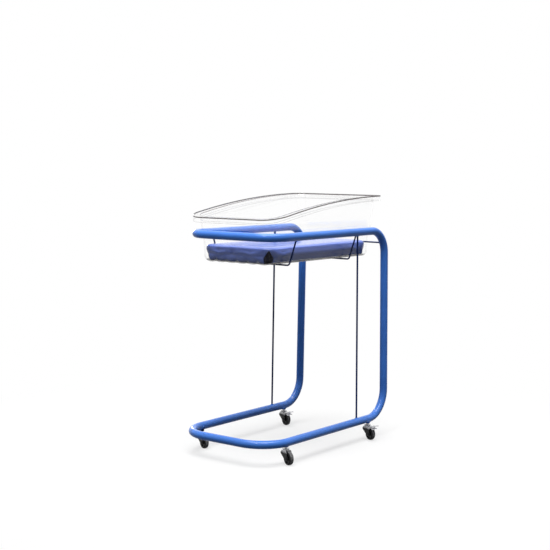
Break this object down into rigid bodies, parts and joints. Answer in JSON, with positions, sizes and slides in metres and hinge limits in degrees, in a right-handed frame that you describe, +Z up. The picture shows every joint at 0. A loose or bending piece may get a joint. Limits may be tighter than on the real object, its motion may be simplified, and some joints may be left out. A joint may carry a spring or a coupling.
{
  "type": "hospital bassinet",
  "caption": "Clear moulded baby tub with a mattress, carried by wires in a cantilevered bent-tube trolley on swivel casters with brake pedals.",
  "frame": {"origin": "on the floor, midway between the side rails of the base loop, 370 mm in front of the uprights", "axes": "+Z up, +Y towards the head end with the uprights, +X towards the right side"},
  "size_m": [0.4927, 0.774, 0.9495],
  "materials": {
    "frame_paint": "gloss powder coat, royal blue",
    "wire_paint": "satin powder coat, navy",
    "sleeve_steel": "plain tube steel",
    "clear_tub": "clear moulded acrylic",
    "mattress_vinyl": "semi-gloss vinyl, navy violet",
    "mattress_foam": "open-cell foam",
    "zinc_plate": "bright zinc plate",
    "ball_steel": "polished",
    "pedal_steel": "bright plated",
    "wheel_plastic": "satin",
    "tyre_rubber": "matt, grey-black"
  },
  "bodies": {
    "frame": {"lower_sleeve_left": "sleeve_steel", "lower_sleeve_right": "sleeve_steel", "upper_sleeve_left": "sleeve_steel", "upper_sleeve_right": "sleeve_steel", "base_loop": "frame_paint", "top_loop": "frame_paint", "upright_left": "frame_paint", "upright_right": "frame_paint", "rod_left": "wire_paint", "rod_right": "wire_paint", "cradle_wire_front": "wire_paint", "cradle_wire_rear": "wire_paint", "backstop_wire": "wire_paint", "caster_boss_front_left": "wire_paint", "caster_boss_front_right": "wire_paint", "caster_boss_rear_left": "wire_paint", "caster_boss_rear_right": "wire_paint", "caster_stem_front_left": "zinc_plate", "caster_stem_front_right": "zinc_plate", "caster_stem_rear_left": "zinc_plate", "caster_stem_rear_right": "zinc_plate"},
    "caster_front_left": {"caster_fork_front_left": "zinc_plate", "caster_balls_front_left": "ball_steel", "axle_bolt_front_left": "zinc_plate", "axle_nut_front_left": "zinc_plate"},
    "wheel_front_left": {"wheel_core_front_left": "wheel_plastic", "tyre_front_left": "tyre_rubber"},
    "caster_front_right": {"caster_fork_front_right": "zinc_plate", "caster_balls_front_right": "ball_steel", "axle_bolt_front_right": "zinc_plate", "axle_nut_front_right": "zinc_plate"},
    "wheel_front_right": {"wheel_core_front_right": "wheel_plastic", "tyre_front_right": "tyre_rubber"},
    "caster_rear_left": {"caster_fork_rear_left": "zinc_plate", "caster_balls_rear_left": "ball_steel", "axle_bolt_rear_left": "zinc_plate", "axle_nut_rear_left": "zinc_plate", "pedal_pin_rear_left": "zinc_plate"},
    "wheel_rear_left": {"wheel_core_rear_left": "wheel_plastic", "tyre_rear_left": "tyre_rubber"},
    "pedal_rear_left": {"brake_pedal_rear_left": "pedal_steel"},
    "caster_rear_right": {"caster_fork_rear_right": "zinc_plate", "caster_balls_rear_right": "ball_steel", "axle_bolt_rear_right": "zinc_plate", "axle_nut_rear_right": "zinc_plate", "pedal_pin_rear_right": "zinc_plate"},
    "wheel_rear_right": {"wheel_core_rear_right": "wheel_plastic", "tyre_rear_right": "tyre_rubber"},
    "pedal_rear_right": {"brake_pedal_rear_right": "pedal_steel"},
    "tub": {"tub": "clear_tub"},
    "mattress": {"mattress_cover": "mattress_vinyl", "mattress_foam": "mattress_foam"}
  },
  "joints": [
    {"name": "caster_front_left_swivel", "type": "hinge", "parent": "frame", "child": "caster_front_left", "pos_m": [-0.199, -0.258, 0.056], "axis": [0, 0, 1], "continuous": true},
    {"name": "wheel_front_left_spin", "type": "hinge", "parent": "caster_front_left", "child": "wheel_front_left", "pos_m": [-0.18046, -0.26549, 0.025], "axis": [0.3746, 0.9272, 0], "continuous": true},
    {"name": "caster_front_right_swivel", "type": "hinge", "parent": "frame", "child": "caster_front_right", "pos_m": [0.199, -0.258, 0.056], "axis": [0, 0, 1], "continuous": true},
    {"name": "wheel_front_right_spin", "type": "hinge", "parent": "caster_front_right", "child": "wheel_front_right", "pos_m": [0.21754, -0.26549, 0.025], "axis": [0.3746, 0.9272, 0], "continuous": true},
    {"name": "caster_rear_left_swivel", "type": "hinge", "parent": "frame", "child": "caster_rear_left", "pos_m": [-0.206, 0.26, 0.056], "axis": [0, 0, 1], "continuous": true},
    {"name": "wheel_rear_left_spin", "type": "hinge", "parent": "caster_rear_left", "child": "wheel_rear_left", "pos_m": [-0.18746, 0.25251, 0.025], "axis": [0.3746, 0.9272, 0], "continuous": true},
    {"name": "pedal_rear_left_press", "type": "hinge", "parent": "caster_rear_left", "child": "pedal_rear_left", "pos_m": [-0.17818, 0.24876, 0.05251], "axis": [0.3746, 0.9272, 0], "range_deg": [0, 8]},
    {"name": "caster_rear_right_swivel", "type": "hinge", "parent": "frame", "child": "caster_rear_right", "pos_m": [0.206, 0.26, 0.056], "axis": [0, 0, 1], "continuous": true},
    {"name": "wheel_rear_right_spin", "type": "hinge", "parent": "caster_rear_right", "child": "wheel_rear_right", "pos_m": [0.22454, 0.25251, 0.025], "axis": [0.3746, 0.9272, 0], "continuous": true},
    {"name": "pedal_rear_right_press", "type": "hinge", "parent": "caster_rear_right", "child": "pedal_rear_right", "pos_m": [0.23382, 0.24876, 0.05251], "axis": [0.3746, 0.9272, 0], "range_deg": [0, 8]},
    {"name": "tub_lift", "type": "slide", "parent": "frame", "child": "tub", "axis": [0, 0, 1], "range_m": [0, 0.3]},
    {"name": "mattress_lift", "type": "slide", "parent": "tub", "child": "mattress", "axis": [0, 0, 1], "range_m": [0, 0.25]}
  ]
}
